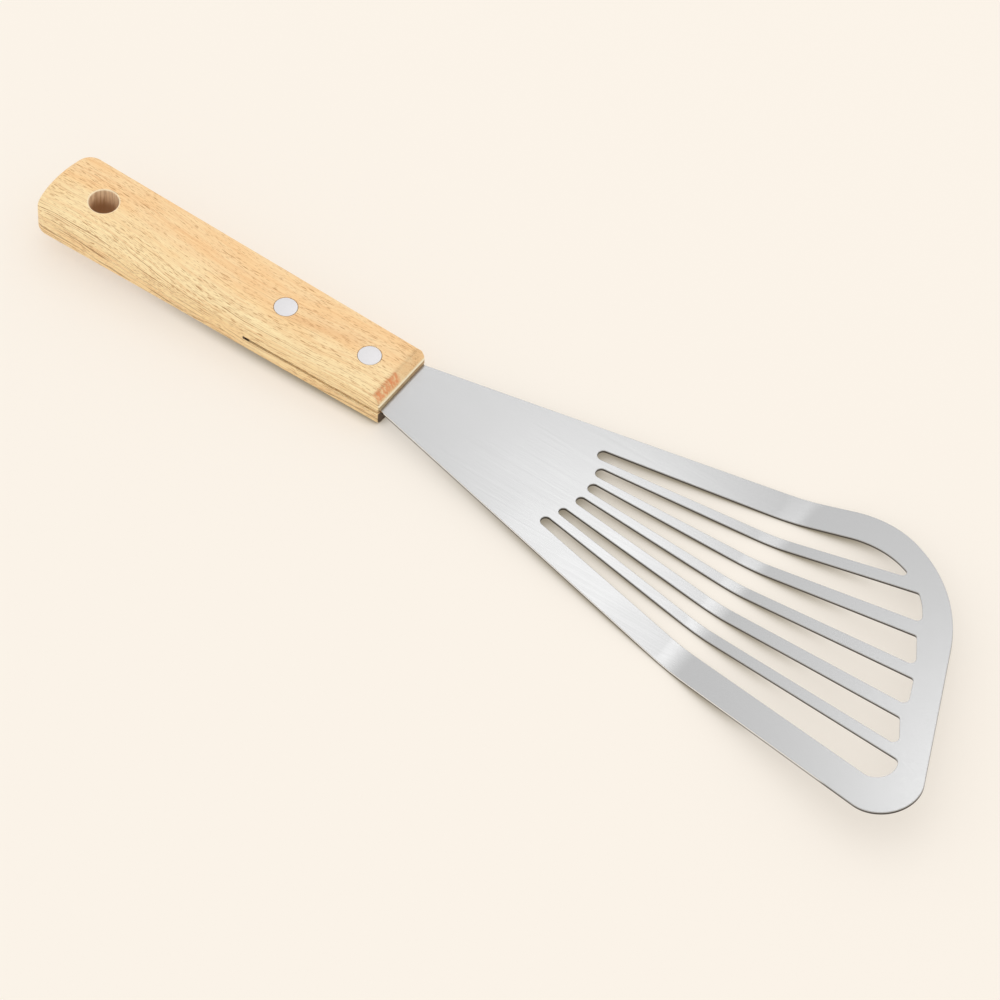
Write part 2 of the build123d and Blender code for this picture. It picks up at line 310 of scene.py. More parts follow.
# Where each tone begins, where it is full, and how strong it gets
PATCH_TAN, FAR_PINK, NEAR_PAINTED_LIGHT = (0.35, 0.65), (3.0, 9.0, 0.35), (-3.0, -8.0, 0.5)
EDGE_PAINTED_HIGHLIGHT, EDGE_HIGHLIGHT_ENDS = (-7.0, -9.5, 0.7), (-12.4, -11.0)
RING_RED, FIBRE_RED = (0.42, 0.75, 0.34), (0.42, 0.72, 0.5)
FIGURE_SLOPE, FIGURE_SIDE, FIGURE_PLACE = 0.2, 5.4, -30.0  # a stroke across the grain, and its middle
FIGURE_WIDTH, FIGURE_LENGTH = (2.6, 0.2, 0.28), (17.0, 8.0)

patches = wood.noise(grain, PATCHES, 3.0)
tone = wood.mix(wood.step(patches, *PATCH_TAN), WOOD_LIGHT, WOOD_TAN)
tone = wood.mix(wood.step(depth, *FAR_PINK), tone, WOOD_PINK)
# Painted highlight: paler yellow towards the near side
tone = wood.mix(wood.step(drift, *NEAR_PAINTED_LIGHT), tone, WOOD_HIGHLIGHT_YELLOW)
# Painted highlight: a pale yellow band along the near edge
near_edge_highlight = wood.times(wood.step(across, *EDGE_PAINTED_HIGHLIGHT), wood.step(across, *EDGE_HIGHLIGHT_ENDS))
tone = wood.mix(near_edge_highlight, tone, WOOD_HIGHLIGHT_YELLOW)
rings = wood.layers(depth, RINGS, 3.0, 0.6)
tone = wood.mix(wood.step(rings, *RING_RED), tone, WOOD_RED)
from_figure = wood.sum("SUBTRACT", wood.sum("MULTIPLY_ADD", along, -FIGURE_SLOPE, across), FIGURE_SIDE)
along_figure = wood.sum("ABSOLUTE", wood.sum("SUBTRACT", along, FIGURE_PLACE))
figure = wood.times(
    wood.step(wood.sum("ABSOLUTE", from_figure), *FIGURE_WIDTH), wood.step(along_figure, *FIGURE_LENGTH))
tone = wood.mix(figure, tone, WOOD_RED)
fibres = wood.noise(grain, FIBRES, 3.0, 0.75)
tone = wood.mix(wood.step(fibres, *FIBRE_RED), tone, WOOD_RED)
print("wood tones use", len(wood.tree.nodes), "nodes")

# %% [markdown]
# Pores are vessels that were cut along their length, so each is a short dash. Cells stretched along the
# grain give them: what lies close to a cell's centre is the pore, and the cell's own random colour makes
# one darker than the next. Four sizes overlap, and a slow noise makes them smaller here and there, or they
# would fall as even as rain.

# %% Wood finish, pores
PORE_BROWN = colour(166, 108, 52)
# Cells in a millimetre along, across and through, the share of a cell that is pore, and how dark it is
PORES = (
    ((0.17, 1.6, 1.6), 0.25, 0.82),
    ((0.24, 2.2, 2.2), 0.28, 0.74),
    ((0.30, 2.7, 2.7), 0.30, 0.64),
    ((0.36, 3.4, 3.4), 0.32, 0.52),
)
PORE_SOFTNESS = 0.09
FAINTEST = 0.3  # how dark the faintest pore of a size is, against the darkest
CROWDS, CROWDED, SMALLEST = (0.05, 0.28, 0.28), (0.35, 0.60), 0.65

skin = tone
crowd = wood.between(wood.step(wood.noise(grain, CROWDS), *CROWDED), SMALLEST, 1.0)
for cells, size, amount in PORES:
    spots = wood.node("TexVoronoi", Vector=wood.stretched(grain, cells), Scale=1.0)
    chance = wood.node("SeparateColor", Color=spots.node.outputs["Color"])
    from_rim = wood.sum("SUBTRACT", wood.times(crowd, size), spots)
    pore = wood.step(from_rim, 0.0, PORE_SOFTNESS)
    darkness = wood.times(wood.between(chance, FAINTEST, 1.0), amount)
    skin = wood.mix(wood.times(pore, darkness), skin, PORE_BROWN)
print("with pores, the wood has", len(wood.tree.nodes), "nodes")

# %% [markdown]
# The long dark lines are the dense ends of growth rings. Most belong to the near side and its edge, where
# the saw met the rings at a shallow angle, and a few faint ones to the near half of the top. Each is a
# narrow peak of a noise that depends on the depth in the log alone, and a second noise breaks it off after
# some centimetres.

# %% Wood finish, dark lines
LINE_BROWN = colour(148, 94, 42)
# How many in a millimetre, where a peak begins and is full and how dark it is, and where across they fade in
LINES = (
    (1.3, (0.63, 0.67, 0.75), (-9.2, -11.4)),
    (2.3, (0.63, 0.67, 0.60), (-9.2, -11.4)),
    (1.7, (0.62, 0.68, 0.35), (3.0, -3.0)),
)
BREAKS, BREAKS_MORE, BROKEN = (0.045, 0.6, 0.6), 0.3, (0.40, 0.56)

for number, (often, peak, side) in enumerate(LINES):
    peaks = wood.layers(depth, often, 1.0)
    breaks = wood.noise(grain, (*BREAKS[:2], BREAKS[2] + BREAKS_MORE * number))
    line = wood.times(wood.step(peaks, *peak), wood.step(breaks, *BROKEN), wood.step(across, *side))
    skin = wood.mix(line, skin, LINE_BROWN)
print("with", len(LINES), "sets of lines, the wood has", len(wood.tree.nodes), "nodes")

# %% [markdown]
# Some places look different, in part because of how they were worked. The wall of the hanging hole is end
# grain with streaks along the drill, browner than the top. Low down towards the butt it is painted darker, as
# painted shade where the least light gets in. A pale ring round the hole is a painted highlight on its
# rounded rim. A distance from the hole's own line finds both.

# %% Wood finish, hanging hole
HOLE_WALL, HOLE_STREAK_AND_SHADE = colour(250, 222, 186), colour(176, 130, 86)
PALE_HIGHLIGHT = colour(255, 240, 206)
WALL_TO, RIM_FROM, RIM_TO, RIM_HIGHLIGHT = 4.42, 4.5, 5.0, 0.85  # distances from the middle of the hole
DRILL_MARKS, DRILLED = (1.6, 1.6, 0.12), (0.35, 0.65, 0.6)
BUTT_SHARE, HOLE_SHADE = 0.35, (2.2, -2.6, 0.9)  # how much the way to the butt counts against the way down

from_hole = wood.node("CombineXYZ", X=wood.sum("ADD", along, HOLE_REACH), Y=across, Z=0.0)
from_hole = wood.node("VectorMath", out=1, settings={"operation": "LENGTH"}, i0=from_hole)
streaks = wood.noise(wood_place, DRILL_MARKS, 3.0, 0.6)
hole_wall = wood.mix(wood.step(streaks, *DRILLED), HOLE_WALL, HOLE_STREAK_AND_SHADE)
light_side = wood.sum("MULTIPLY_ADD", along, BUTT_SHARE, wood.sum("ADD", height, BUTT_SHARE * HOLE_REACH))
# Painted shade: the wall darkens low down towards the butt
hole_wall = wood.mix(wood.step(light_side, *HOLE_SHADE), hole_wall, HOLE_STREAK_AND_SHADE)
# Painted highlight: a pale ring on the rounded rim
skin = wood.mix(wood.step(from_hole, RIM_TO, RIM_FROM, RIM_HIGHLIGHT), skin, PALE_HIGHLIGHT)
skin = wood.mix(wood.step(from_hole, RIM_FROM, WALL_TO), skin, hole_wall)
print("with the hole, the wood has", len(wood.tree.nodes), "nodes")

# %% [markdown]
# The front is end grain. It is darkened a little above the blade and nearly to black below it, which is
# painted shade under the blade. The kerf is painted shade as well: lightly darkened where the tang fills it,
# and nearly black in the open end past the tang.

# %% Wood finish, front and kerf
SHADE_BROWN = colour(70, 45, 26)
FRONT_PLACE, FRONT_UP = (-0.3, -0.05), (0.4, 0.2)
SHADE_BELOW, DARKER_ABOVE, DARKENING_HEIGHTS = 0.95, 0.45, (0.4, -0.4)  # how dark, and the heights between the two
KERF_HEIGHT, KERF_PLACE = (0.58, 0.53), (-47.0, -46.9)
SHADE_AT_KERF_END, SHADE_ALONG_KERF = (-44.6, -45.4, 0.8), (0.0, -44.0, 0.2)

upright = wood.upright()
front = wood.times(wood.step(along, *FRONT_PLACE), wood.step(upright, *FRONT_UP))
front_darkening = wood.between(wood.step(height, *DARKENING_HEIGHTS), DARKER_ABOVE, SHADE_BELOW)
# Painted shade on the front, deepest below the blade
skin = wood.mix(wood.times(front, front_darkening), skin, SHADE_BROWN)
# Painted shade in the kerf, darkest at its open end
in_kerf = wood.times(wood.step(wood.sum("ABSOLUTE", height), *KERF_HEIGHT), wood.step(along, *KERF_PLACE))
kerf_shade = wood.sum("ADD", wood.step(along, *SHADE_AT_KERF_END), wood.step(along, *SHADE_ALONG_KERF))
skin = wood.mix(wood.times(in_kerf, kerf_shade), skin, SHADE_BROWN)
print("with the front, the wood has", len(wood.tree.nodes), "nodes")

# %% [markdown]
# The bevel on the front's top edge was sanded by hand. The sander left oblique reddish streaks on its near
# half. Its lower edge carries a thin pale line, a painted highlight. The streaks are a noise in coordinates
# that are turned and stretched, within a region that fades out at the ends of the bevel.

# %% Wood finish, bevel
SANDED_RED = colour(236, 152, 98)
SANDED_TURN, SANDED_STRETCH, SANDED = math.radians(-38), (0.5, 1.6, 0.5), (0.28, 0.60)
SANDED_PLACES = ((-3.2, -2.0), (-0.2, -0.9))  # along, where the region fades in at its back and its front
SANDED_SIDES = ((0.5, -1.5), (-11.6, -10.2))  # the same across
CRISP_PLACE, CRISP_UP, CRISP_HEIGHT = (-0.45, -0.15), (0.3, 0.42), (1.0, 1.4)

turned = wood.node("Mapping", Vector=wood_place, Rotation=(0.0, 0.0, SANDED_TURN), Scale=SANDED_STRETCH)
streaked = wood.step(wood.noise(turned, (1.0, 1.0, 1.0), 3.0, 0.7), *SANDED)
region = [wood.step(along, *ends) for ends in SANDED_PLACES]
region += [wood.step(across, *ends) for ends in SANDED_SIDES]
skin = wood.mix(wood.times(streaked, *region), skin, SANDED_RED)
# Painted highlight: a pale line on the lower edge of the bevel
bevel_highlight = wood.times(wood.step(along, *CRISP_PLACE), wood.step(upright, *CRISP_UP))
bevel_highlight = wood.times(bevel_highlight, wood.step(height, *CRISP_HEIGHT))
skin = wood.mix(bevel_highlight, skin, PALE_HIGHLIGHT)
print("with the bevel, the wood has", len(wood.tree.nodes), "nodes")

# %% [markdown]
# Oiled wood has a low, soft gloss. It is a little rougher where the fibres are dark, and the fibres and the
# finest pores stand out of the surface by a few hundredths of a millimetre, which a bump is enough for.

# %% Wood finish, gloss and relief
WOOD_ROUGH, FIBRE_ROUGH = 0.46, 0.58
RELIEF, PORE_RELIEF = 0.00006, -0.6

wood.set("Base Color", skin)
wood.set("Roughness", wood.between(fibres, WOOD_ROUGH, FIBRE_ROUGH))
wood.set("Specular IOR Level", 0.35)
relief = wood.sum("MULTIPLY_ADD", pore, PORE_RELIEF, fibres)
wood.set("Normal", wood.node("Bump", Strength=0.25, Distance=RELIEF, Height=relief))
print("wood has", len(wood.tree.nodes), "nodes")

# %% [markdown]
# The rivet heads are aluminium, pressed flat and then sanded flush with the wood, so they are matt and a
# touch lighter than the blade, with marks that lie in no one direction.

# %% Rivet finish
RIVET_LIGHT, RIVET_GREY = colour(232, 230, 231), colour(222, 220, 221)
SCUFFED, SCUFF_DEPTH = (1.2, 4.0, 1.2), 0.00003
RIVET_ROUGH, SCUFF_ROUGH = 0.40, 0.55

rivet_metal = Finish("satin_aluminium")
scuff = rivet_metal.noise(rivet_metal.tool_place(), SCUFFED, 4.0, 0.65)
rivet_metal.set("Base Color", rivet_metal.mix(scuff, RIVET_LIGHT, RIVET_GREY))
rivet_metal.set("Roughness", rivet_metal.between(scuff, RIVET_ROUGH, SCUFF_ROUGH))
rivet_metal.set("Metallic", 1.0)
rivet_metal.set("Normal", rivet_metal.node("Bump", Strength=0.1, Distance=SCUFF_DEPTH, Height=scuff))
print("rivet metal has", len(rivet_metal.tree.nodes), "nodes")

# %% [markdown]
# Now the blade. A real one is stamped flat and then pressed over a form, and the mesh is made the same way:
# first the loops of its outline and slots, as a draughtsman would draw them, with straight lines and arcs;
# then a flat skin between them; then a thickness with softly broken edges; and last the bend.

# %% Drawing helpers
CHORD, LEAST_STEPS = 0.35, 6  # longest step on an arc, and the fewest steps


def arc(centre, radius, start, end):
    """Points on an arc from one angle to another, in degrees."""
    count = max(LEAST_STEPS, math.ceil(abs(math.radians(end - start)) * radius / CHORD))
    angles = [math.radians(start + (end - start) * n / count) for n in range(count + 1)]
    return [(centre[0] + radius * math.cos(a), centre[1] + radius * math.sin(a)) for a in angles]


def angle_of(start, end):
    """The direction from one point to another, in degrees."""
    return math.degrees(math.atan2(end[1] - start[1], end[0] - start[0]))


def short_way(start, end):
    """The end angle, turned by whole turns so that the arc to it from start is the short one."""
    return start + (end - start + 180) % 360 - 180


def rounded(before, corner, after, radius):
    """The corner of two straight lines, rounded."""
    if radius == 0:
        return [corner]
    a = Vector(before) - Vector(corner)
    b = Vector(after) - Vector(corner)
    half = a.angle(b) / 2
    centre = Vector(corner) + (a.normalized() + b.normalized()).normalized() * radius / math.sin(half)
    foot_a = Vector(corner) + a.normalized() * radius / math.tan(half)
    foot_b = Vector(corner) + b.normalized() * radius / math.tan(half)
    start = angle_of(centre, foot_a)
    return arc(centre, radius, start, short_way(start, angle_of(centre, foot_b)))


def rounded_loop(corners, radii):
    """A closed loop of straight lines with rounded corners."""
    loop = []
    count = len(corners)
    for n, (corner, radius) in enumerate(zip(corners, radii)):
        loop += rounded(corners[n - 1], corner, corners[(n + 1) % count], radius)
    return loop


def line_at(start, end, x):
    """The point at x on the line through two points."""
    return (x, start[1] + (end[1] - start[1]) * (x - start[0]) / (end[0] - start[0]))


def on_slant(start, end, reach, slant):
    """Where a line meets another that slants from square and has this reach on the centre line."""
    slope = (end[1] - start[1]) / (end[0] - start[0])
    lag = math.tan(math.radians(slant))
    return line_at(start, end, (reach - lag * line_at(start, end, 0)[1]) / (1 + lag * slope))


def ball(line, side, centre, big_radius, radius, towards=1):
    """A small arc that rounds the corner between a line and a large arc: its points, from the line onwards.
    It lies inside the large arc, above the line (side 1) or below it (-1), at its end towards +x or -x."""
    start, end = Vector(line[0]), Vector(line[1])
    run = (end - start).normalized()
    start = start + Vector((-run.y, run.x)) * side * radius
    gap = start - Vector(centre)
    half = gap.dot(run)
    root = math.sqrt(half * half - gap.length_squared + (big_radius - radius) ** 2)
    middles = [start + run * t for t in (-half - root, -half + root)]
    middle = max(middles, key=lambda p: p.x * towards)
    foot = angle_of((0, 0), Vector((run.y, -run.x)) * side)
    return arc(middle, radius, foot, short_way(foot, angle_of(centre, middle)))


print("drawing helpers are ready")

# %% [markdown]
# The outline flares from the handle to the tip. The tip edge runs at a slant, so one side is longer. The
# far corner is a wide sweep made of two arcs, the near one a small arc. The near edge already has its
# numbers, because the finish of the steel needed them. The tang is drawn in too, although the handle hides
# it, because a piece should be whole.

# %% Blade outline
BEND = 113.65  # from the front of the handle to the middle of the bend
TIP = BEND + 64.95
TIP_SLANT = 22.4
NECK_FAR, FLARE_FAR = 10.05, 12.33
TANG_LENGTH, TANG_HALF, TANG_SHOULDER, TANG_CORNER = 44.6, 10.2, 2.0, 3.0
SWEEP_CUT_SIDE, SWEEP_CUT_TIP = 22.6, 19.8
SWEEP_RADII = (33.3, 53.8)
NEAR_CORNER_RADIUS = 11.1


def half_width(x, side):
    """Half width of the blade at x, on the far side (1) or the near side (-1)."""
    if side > 0:
        return NECK_FAR + x * math.tan(math.radians(FLARE_FAR))
    return NECK_NEAR + x * math.tan(math.radians(FLARE_NEAR))


def edge_point(x, side):
    """A point on the straight far or near edge."""
    return (x, side * half_width(x, side))


far_corner = on_slant(edge_point(0, 1), edge_point(BEND, 1), TIP, TIP_SLANT)
near_corner = on_slant(edge_point(0, -1), edge_point(BEND, -1), TIP, TIP_SLANT)
cut_side = Vector(far_corner) + (Vector(edge_point(0, 1)) - Vector(far_corner)).normalized() * SWEEP_CUT_SIDE
cut_tip = Vector(far_corner) + (Vector(near_corner) - Vector(far_corner)).normalized() * SWEEP_CUT_TIP
shoulder_x = (TANG_HALF - NECK_FAR) / math.tan(math.radians(FLARE_FAR))
corners = [
    (-TANG_LENGTH, TANG_HALF), (-TANG_LENGTH, -TANG_HALF), (-TANG_SHOULDER, -TANG_HALF),
    edge_point(-TANG_SHOULDER, -1), near_corner, tuple(cut_tip), tuple(cut_side), (shoulder_x, TANG_HALF),
]
radii = [TANG_CORNER, TANG_CORNER, 0, 0, NEAR_CORNER_RADIUS, SWEEP_RADII[1], SWEEP_RADII[0], 0]
outline = rounded_loop(corners, radii)
print("outline of", len(outline), "points, tip corner at", [round(v, 1) for v in near_corner])

# %% [markdown]
# Six slots fan out with the flare. Each starts round and ends on a slant near the tip edge. The first two,
# beside the sweeping corner, end on one common arc that keeps an even rim of metal round it, and a small
# ball of an arc rounds them off there.

# %% Slots
ROOT, END = BEND - 42.75, BEND + 47.25
ROOT_FAR = (0.698, 0.429, 0.171, -0.076, -0.332, -0.562)
ROOT_NEAR = (0.532, 0.272, 0.024, -0.205, -0.452, -0.704)
END_FAR = (0.763, 0.460, 0.149, -0.131, -0.391, -0.622)
END_NEAR = (0.553, 0.251, -0.049, -0.301, -0.548, -0.801)
SLOT_STARTS = (56.15, 53.05, 51.75, 51.85, 53.55, 55.85)  # before the bend
SLOT_START_SHARE = 0.49
SLOT_RIMS = (9.05, 9.05, 8.95, 8.2, 9.1, 7.9)
SLOT_SLANTS = (30, 30, 30, 22, 30, 22)
FAR_CORNERS = (0, 0.159, 0.144, 0.187, 0.202, 0.284)  # of the slot's width
NEAR_CORNERS = (0.116, 0.127, 0.155, 0.187, 0.202, 0.627)
ARC_SHARE = 0.6745
ARC_SLOTS = 2


def border(root_share, end_share):
    """A slot's border, as its points at the root and end stations."""
    at_root = (ROOT, root_share * half_width(ROOT, root_share))
    return at_root, (END, end_share * half_width(END, end_share))


arc_radius = ARC_SHARE * half_width(END, 1)
rim_reaches = [TIP - rim / math.cos(math.radians(TIP_SLANT)) for rim in SLOT_RIMS]
first_border = border(ROOT_FAR[0], END_FAR[0])
window_far = on_slant(*first_border, rim_reaches[0], TIP_SLANT)
window_near = on_slant(*border(ROOT_NEAR[-1], END_NEAR[-1]), rim_reaches[0], TIP_SLANT)
sweep = rounded(first_border[0], window_far, window_near, arc_radius)
side_a, side_b = Vector(first_border[0]) - Vector(window_far), Vector(window_near) - Vector(window_far)
to_centre = (side_a.normalized() + side_b.normalized()).normalized()
arc_centre = Vector(window_far) + to_centre * arc_radius / math.sin(side_a.angle(side_b) / 2)
slots = []
for number in range(len(SLOT_STARTS)):
    far = border(ROOT_FAR[number], END_FAR[number])
    near = border(ROOT_NEAR[number], END_NEAR[number])
    middle = [(f[0], (f[1] + n[1]) / 2) for f, n in zip(far, near)]
    middle_end = on_slant(*middle, rim_reaches[number], TIP_SLANT)
    reach = middle_end[0] + middle_end[1] * math.tan(math.radians(SLOT_SLANTS[number]))
    ends = [on_slant(*line, reach, SLOT_SLANTS[number]) for line in (far, near)]
    starts = [line_at(*line, BEND - SLOT_STARTS[number]) for line in (far, near)]
    width = far[1][1] - near[1][1]
    far_radius, near_radius = FAR_CORNERS[number] * width, NEAR_CORNERS[number] * width
    start_radius = SLOT_START_SHARE * (starts[0][1] - starts[1][1])
    loop = rounded(ends[1], starts[1], starts[0], start_radius)
    loop += rounded(starts[1], starts[0], ends[0], start_radius)
    if number < ARC_SLOTS:
        near_ball = ball(near, 1, arc_centre, arc_radius, near_radius)
        far_end = ball(far, -1, arc_centre, arc_radius, far_radius) if far_radius else [sweep[0]]
        angles = [angle_of(arc_centre, far_end[-1]), angle_of(arc_centre, near_ball[-1])]
        loop += far_end + arc(arc_centre, arc_radius, *angles)[1:-1] + near_ball[::-1]
    else:
        loop += rounded(starts[0], ends[0], ends[1], far_radius)
        loop += rounded(ends[0], ends[1], starts[1], near_radius)
    slots.append(loop)
print("slots:", [len(loop) for loop in slots], "points")

# %% [markdown]
# A flat skin between loops is what a constrained triangulation makes. It needs points inside as well, in
# close columns where the sheet will bend, or the bend would show flats. The edge of the plate is a stack of
# rings: each ring follows the loop a little further out and lower, round a quarter circle, so that the edge
# is softly broken and catches the light as stamped steel does. Each point also gets its exact normal, so
# flat stays flat, and two maps for the finish: where it lies along the plate, and how high on its edge.

# %% Plate builder
LONG_STEP = 4.0  # longest step on a straight edge
SAME_PLACE = 1e-4  # points nearer than this are one
MERGE = 1e-6  # the same in the triangulation
MAP_SIZE = 100  # millimetres in one unit of the map


def oriented(loop, outer):
    """The loop as vectors, with the material on its left and without points on top of each other."""
    points = [Vector(p) for p in loop]
    points = [p for n, p in enumerate(points) if (p - points[n - 1]).length > SAME_PLACE]
    area = sum(points[n - 1].cross(p) for n, p in enumerate(points))
    return points if (area > 0) == outer else points[::-1]


def divided(loop, step_at):
    """The loop with long straight runs divided. Step_at gives the longest step at an x."""
    points = []
    for n, p in enumerate(loop):
        before = loop[n - 1]
        count = max(1, math.ceil((p - before).length / step_at((p.x + before.x) / 2)))
        points += [before.lerp(p, (k + 1) / count) for k in range(count)]
    return points


def outward(loop):
    """Directions out of the material at each point of a loop."""
    found = []
    for n, p in enumerate(loop):
        run = (p - loop[n - 1]).normalized() + (loop[(n + 1) % len(loop)] - p).normalized()
        found.append(Vector((run.y, -run.x)).normalized())
    return found


def inside(x, y, loops):
    """Whether a point is in the material: it crosses an odd number of edges on its way out."""
    odd = False
    for loop in loops:
        for n, b in enumerate(loop):
            a = loop[n - 1]
            if (a.y > y) != (b.y > y) and x < a.x + (b.x - a.x) * (y - a.y) / (b.y - a.y):
                odd = not odd
    return odd


def plate(name, loops, half, edge, steps, columns, row_gap, shape):
    """A plate between loops, the first of which is its outline. Edge is the radius of its broken edges, drawn
    in steps. Columns and row_gap place the points inside. Shape gives a point's place and normal."""
    outs = [outward(loop) for loop in loops]
    rims = [[p - out * edge for p, out in zip(loop, directions)] for loop, directions in zip(loops, outs)]
    flat, links = [], []
    for rim in rims:
        first = len(flat)
        flat += rim
        links += [(first + n, first + (n + 1) % len(rim)) for n in range(len(rim))]
    low, high = min(p.y for p in rims[0]), max(p.y for p in rims[0])
    clear = row_gap / 3
    for x in columns:
        for n in range(int((high - low) / row_gap)):
            y = low + (n + 0.5) * row_gap
            tests = ((0, 0), (clear, 0), (-clear, 0), (0, clear), (0, -clear))
            if all(inside(x + dx, y + dy, rims) for dx, dy in tests):
                flat.append(Vector((x, y)))
    flat, _, triangles, sources, _, _ = delaunay_2d_cdt(flat, links, [], 0, MERGE)
    where = {source: n for n, group in enumerate(sources) for source in group}
    kept = []
    for triangle in triangles:
        middle = sum((flat[v] for v in triangle), Vector((0, 0))) / 3
        if inside(middle.x, middle.y, rims):
            kept.append(triangle)
    places = [shape(p, half, (0, 0), 1) for p in flat] + [shape(p, -half, (0, 0), -1) for p in flat]
    faces = [tuple(t) for t in kept] + [tuple(v + len(flat) for v in reversed(t)) for t in kept]
    spots = list(flat) * 2
    heights = [1.0] * len(flat) + [-1.0] * len(flat)
    offset = 0
    for loop, directions in zip(loops, outs):
        levels = [[where[offset + n] for n in range(len(loop))]]
        angles = [90 * k / steps for k in range(1, steps + 1)]
        for face_side, turn_angles in ((1, angles), (-1, angles[::-1])):
            for angle in turn_angles:
                sink, out = math.radians(angle), edge * (1 - math.sin(math.radians(angle)))
                level = face_side * (half - edge * (1 - math.cos(sink)))
                levels.append(list(range(len(places), len(places) + len(loop))))
                for p, direction in zip(loop, directions):
                    spot = p - direction * out
                    places.append(shape(spot, level, direction * math.sin(sink), face_side * math.cos(sink)))
                    spots.append(spot)
                    heights.append(level / half)
        levels.append([where[offset + n] + len(flat) for n in range(len(loop))])
        offset += len(loop)
        for upper, lower in zip(levels, levels[1:]):
            for n in range(len(loop)):
                m = (n + 1) % len(loop)
                faces.append((upper[n], lower[n], lower[m], upper[m]))
    mesh = bpy.data.meshes.new(name)
    mesh.from_pydata([on_table(p) for p, _ in places], [], faces)
    mesh.shade_smooth()
    along_map = mesh.uv_layers.new(name="along")
    level_map = mesh.uv_layers.new(name="level")
    for corner in mesh.loops:
        along_map.data[corner.index].uv = spots[corner.vertex_index] / MAP_SIZE
        level_map.data[corner.index].uv = (heights[corner.vertex_index], 0)
    mesh.normals_split_custom_set_from_vertices([turned_to_table(n).normalized() for _, n in places])
    made = bpy.data.objects.new(name, mesh)
    scene.collection.objects.link(made)
    print(name, "has", len(mesh.vertices), "vertices and", len(mesh.polygons), "faces")
    return made


# %% [markdown]
# The press turns the tip up by a little over 11 degrees on a wide radius. Every point of the flat plate is
# carried onto the bent line and stands off it by its height, square to the sheet. Only the shape function
# knows of it, so the plate builder can make the handle too.

# %% Blade
SHEET_HALF = 0.5
EDGE_BREAK = 0.13
BEND_RADIUS = 47.0
BEND_ANGLE = math.radians(11.4)
RIVETS = {"front": -11.65, "rear": -41.05}  # the x of each
SHANK_HOLE = 2.03
HOLE_TURN = 354  # degrees of a hole's loop, which closes itself over the last few
EDGE_STEPS = 3
BEND_COLUMNS, BEND_STEP, BEND_MARGIN = 12, 0.8, 1.0  # points lie closer together in the bend and just past it
FLAT_COLUMNS, FLAT_MARGIN, ROW_GAP = range(-42, 190, 6), 3.0, 2.4

bend_start = BEND - BEND_RADIUS * BEND_ANGLE / 2
bend_end = bend_start + BEND_RADIUS * math.sin(BEND_ANGLE)


def bent(point, height, out, up):
    """The place and the normal of a point of the sheet after the press."""
    x, y = point
    turned = math.asin(min(max((x - bend_start) / BEND_RADIUS, 0), math.sin(BEND_ANGLE)))
    z = BEND_RADIUS * (1 - math.cos(turned)) + max(x - bend_end, 0) * math.tan(BEND_ANGLE)
    sine, cosine = math.sin(turned), math.cos(turned)
    place = (x - height * sine, y, z + height * cosine)
    return place, (out[0] * cosine - up * sine, out[1], out[0] * sine + up * cosine)


def sheet_step(x):
    """How far apart points may be along an edge of the blade."""
    return BEND_STEP if bend_start - BEND_MARGIN < x < bend_end + BEND_MARGIN else LONG_STEP


loops = [divided(oriented(outline, True), sheet_step)]
loops += [divided(oriented(loop, False), sheet_step) for loop in slots]
loops += [oriented(arc((x, 0), SHANK_HOLE, 0, HOLE_TURN), False) for x in RIVETS.values()]
columns = [bend_start + (bend_end - bend_start) * n / BEND_COLUMNS for n in range(BEND_COLUMNS + 1)]
columns += [x for x in FLAT_COLUMNS if not bend_start - FLAT_MARGIN < x < bend_end + FLAT_MARGIN]
blade = plate("steel_blade", loops, SHEET_HALF, EDGE_BREAK, EDGE_STEPS, columns, ROW_GAP, bent)
blade.data.materials.append(steel.material)
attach(blade, "root")
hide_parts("blade")

# %% [markdown]
# The handle starts as a blank: one outline with a round butt, left longer at the front for the saw, given
# the thickness of the board and a radius on its long edges. Sanding leaves its faces a hair lower at the
# sides than in the middle, and that soft crown keeps the wood from looking like plastic. On the near side
# the sander took off more, so the fall there is deeper: the soft, lit shoulder above the near side shows
# it. Both are worked into the shape function, which presses a point towards the middle of the board, more
# so the farther out it lies.

# %% Handle blank
HANDLE_LENGTH = 123.5
HANDLE_HALF = 5.75
HANDLE_SHIFT = 0.4  # its middle line lies this far to the near side
FRONT_HALF = 11.4
FRONT_EXTRA = 3.0  # left on for the saw
BUTT_HALF, BUTT_BULGE, BUTT_CORNER = 13.3, 2.3, 5.0
EDGE_ROUND, ROUND_STEPS = 1.55, 7
CROWN = 0.12
NEAR_FALL = 0.9  # how much the near edge is sanded down
NEAR_FALL_FROM, NEAR_FALL_TO = 8.0, 12.8  # where it begins and where it is full
HANDLE_COLUMNS, HANDLE_ROW_GAP = range(-121, 3, 3), 2.6

butt_radius = (BUTT_HALF**2 + BUTT_BULGE**2) / (2 * BUTT_BULGE)
butt_centre = (butt_radius - HANDLE_LENGTH, 0)
far_line = ((BUTT_BULGE - HANDLE_LENGTH, BUTT_HALF), (0, FRONT_HALF))
far_butt = ball(far_line, -1, butt_centre, butt_radius, BUTT_CORNER, towards=-1)
around = [line_at(*far_line, FRONT_EXTRA)] + far_butt
around += arc(butt_centre, butt_radius, angle_of(butt_centre, far_butt[-1]), 180)[1:]
around += [(x, -y) for x, y in around[-2::-1]]
around = [(x, y - HANDLE_SHIFT) for x, y in around]


def crowned(point, height, out, up):
    """The place and the normal of a point of the handle after sanding."""
    x, y = point
    share = (y + HANDLE_SHIFT) / BUTT_HALF
    near = min(max((-y - NEAR_FALL_FROM) / (NEAR_FALL_TO - NEAR_FALL_FROM), 0), 1)
    fall = CROWN * share * share + NEAR_FALL * near * near
    return (x, y, height * (1 - fall / HANDLE_HALF)), (out[0], out[1], up)


